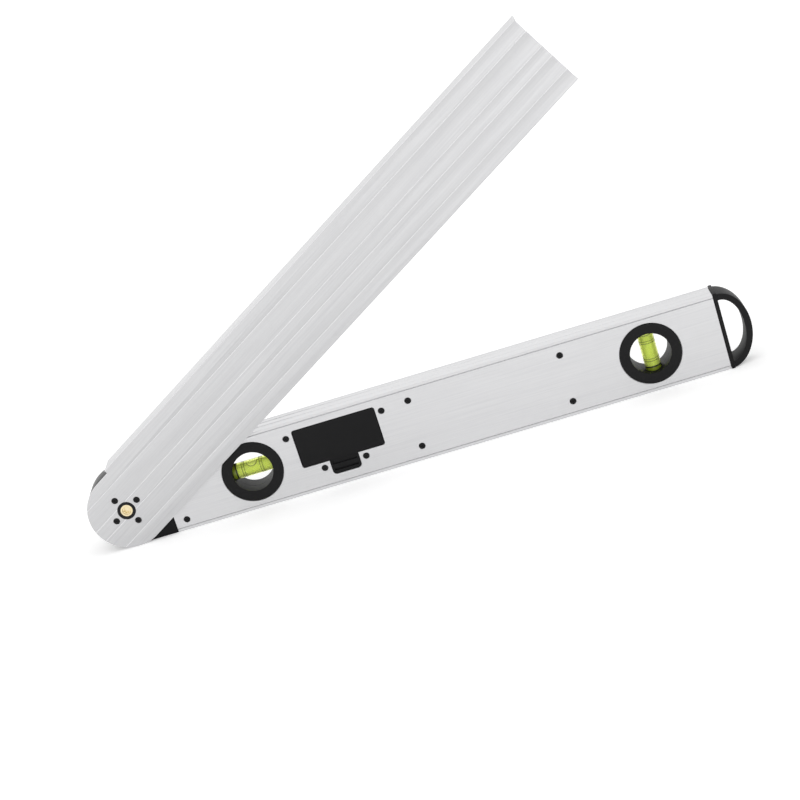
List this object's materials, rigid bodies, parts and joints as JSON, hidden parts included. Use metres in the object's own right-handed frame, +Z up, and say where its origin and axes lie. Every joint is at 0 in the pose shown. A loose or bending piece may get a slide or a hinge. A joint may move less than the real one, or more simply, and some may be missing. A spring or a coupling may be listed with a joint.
{
  "type": "angle finder with arms",
  "caption": "Digital angle finder: a box-section arm with display, keys, vials and hand loop, and an L-section arm that swings on a clamping knob.",
  "frame": {"origin": "middle of the lower edge of the main arm's aluminium section, on which the tool stands", "axes": "+X along the main arm towards the pivot, +Y towards the back with the battery cover, +Z up, square to the main arm's lower edge"},
  "size_m": [0.443, 0.0401, 0.254],
  "materials": {
    "satin_aluminium": "satin anodised extrusion",
    "black_abs": "fine matt texture",
    "black_nylon": "matt",
    "clear_acrylic": "polished",
    "vial_spirit": "clear yellow-green",
    "clear_window": "polished",
    "lcd_glass": "smooth",
    "white_diffuser": "smooth",
    "green_circuit_board": "solder mask",
    "grey_silicone": "matt",
    "grey_key_plastic": "fine matt texture",
    "red_key_plastic": "fine matt texture",
    "zinc_plated_steel": "zinc plated",
    "blackened_steel": "blackened",
    "turned_brass": "turned",
    "copper_clad": "copper tracks on a disc",
    "cell_wrapper": "plain printed film",
    "white_slip_ring": "smooth low-friction film",
    "ribbon_film": "polyimide film",
    "red_wire_jacket": "smooth",
    "black_wire_jacket": "smooth"
  },
  "bodies": {
    "main": {"main_arm": "satin_aluminium", "pivot_housing": "black_abs", "end_cap_handle": "black_abs", "friction_ring": "white_slip_ring", "sensor_board": "green_circuit_board", "level_ring_front": "black_abs", "level_ring_back": "black_abs", "plumb_ring_front": "black_abs", "plumb_ring_back": "black_abs", "level_vial_tube": "clear_acrylic", "level_vial_plug": "clear_acrylic", "level_vial_spirit": "vial_spirit", "plumb_vial_tube": "clear_acrylic", "plumb_vial_plug": "clear_acrylic", "plumb_vial_spirit": "vial_spirit", "display_bezel": "black_abs", "display_window": "clear_window", "lcd_panel": "lcd_glass", "backlight": "white_diffuser", "circuit_board": "green_circuit_board", "button_mat": "grey_silicone", "display_chassis": "black_abs", "battery_tray": "black_abs", "lower_cell": "cell_wrapper", "upper_cell": "cell_wrapper", "lower_contact_plate": "zinc_plated_steel", "upper_contact_plate": "zinc_plated_steel", "lower_contact_spring": "zinc_plated_steel", "upper_contact_spring": "zinc_plated_steel", "sensor_ribbon": "ribbon_film", "battery_lead_red": "red_wire_jacket", "battery_lead_black": "black_wire_jacket", "tray_screw_1": "blackened_steel", "tray_screw_2": "blackened_steel", "tray_screw_3": "blackened_steel", "tray_screw_4": "blackened_steel", "display_screw_1": "blackened_steel", "display_screw_2": "blackened_steel", "display_screw_3": "blackened_steel", "display_screw_4": "blackened_steel", "housing_screw_1": "blackened_steel", "housing_screw_2": "blackened_steel"},
    "swing": {"swing_arm": "satin_aluminium", "rotor_hub": "black_abs", "sensor_rotor": "copper_clad", "pivot_bolt": "turned_brass", "hub_screw_1": "blackened_steel", "hub_screw_2": "blackened_steel", "hub_screw_3": "blackened_steel", "hub_screw_4": "blackened_steel"},
    "clamp": {"thrust_washer": "zinc_plated_steel"},
    "knob": {"clamp_knob": "black_nylon", "knob_insert": "turned_brass"},
    "cover": {"battery_cover": "black_abs"},
    "power_button": {"power_button": "grey_key_plastic"},
    "hold_button": {"hold_button": "red_key_plastic"},
    "mode_button": {"mode_button": "grey_key_plastic"},
    "sides_button": {"sides_button": "grey_key_plastic"}
  },
  "joints": [
    {"name": "arm_swing", "type": "hinge", "parent": "main", "child": "swing", "pos_m": [0.21215, 0, 0.0255], "axis": [0, 1, 0], "range_deg": [-31, 194]},
    {"name": "cover_hinge", "type": "hinge", "parent": "main", "child": "cover", "pos_m": [0.06755, 0.01, 0.044], "axis": [1, 0, 0], "range_deg": [0, 70]},
    {"name": "clamp_slide", "type": "slide", "parent": "main", "child": "clamp", "axis": [0, -1, 0], "range_m": [0, 0.001]},
    {"name": "knob_turn", "type": "hinge", "parent": "clamp", "child": "knob", "pos_m": [0.21215, -0.0116, 0.0255], "axis": [0, -1, 0], "range_deg": [0, 360]},
    {"name": "power_button_press", "type": "slide", "parent": "main", "child": "power_button", "axis": [0, 1, 0], "range_m": [0, 0.0008], "stiffness_N_per_m": 400},
    {"name": "hold_button_press", "type": "slide", "parent": "main", "child": "hold_button", "axis": [0, 1, 0], "range_m": [0, 0.0008], "stiffness_N_per_m": 400},
    {"name": "mode_button_press", "type": "slide", "parent": "main", "child": "mode_button", "axis": [0, 1, 0], "range_m": [0, 0.0008], "stiffness_N_per_m": 400},
    {"name": "sides_button_press", "type": "slide", "parent": "main", "child": "sides_button", "axis": [0, 1, 0], "range_m": [0, 0.0008], "stiffness_N_per_m": 400}
  ],
  "couplings": [
    {"joint": "knob_turn", "follows": "clamp_slide", "rad_per_m": 6283.2}
  ]
}
